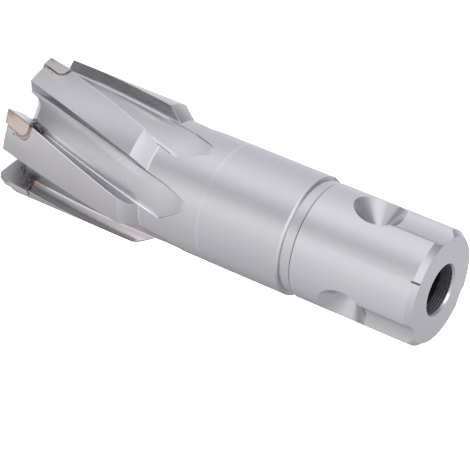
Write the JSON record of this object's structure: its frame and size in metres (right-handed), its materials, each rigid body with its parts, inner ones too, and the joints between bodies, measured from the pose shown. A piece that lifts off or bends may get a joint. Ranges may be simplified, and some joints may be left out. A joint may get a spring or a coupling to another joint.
{
  "type": "annular cutter",
  "caption": "Hollow cylindrical milling cutter with helical lands, brazed carbide teeth and a recessed plain shank, for cutting holes in steel plate.",
  "frame": {"origin": "on the cutter's axis, in the level plane of the ridges of its teeth", "axes": "+Z along the cutter's axis from the teeth towards the shank; -Y towards the index mark on the shank's end"},
  "size_m": [0.0222, 0.0228, 0.0715],
  "materials": {
    "tool_steel": "satin ground and milled tool steel",
    "carbide": "ground sintered carbide, faintly tinted by the brazing heat",
    "silver_solder": "dull darkened silver solder"
  },
  "bodies": {
    "root": {"cutter_body": "tool_steel", "carbide_tip_1": "carbide", "carbide_tip_2": "carbide", "carbide_tip_3": "carbide", "carbide_tip_4": "carbide", "carbide_tip_5": "carbide", "carbide_tip_6": "carbide", "solder_seam_1": "silver_solder", "solder_seam_2": "silver_solder", "solder_seam_3": "silver_solder", "solder_seam_4": "silver_solder", "solder_seam_5": "silver_solder", "solder_seam_6": "silver_solder"}
  },
  "joints": []
}
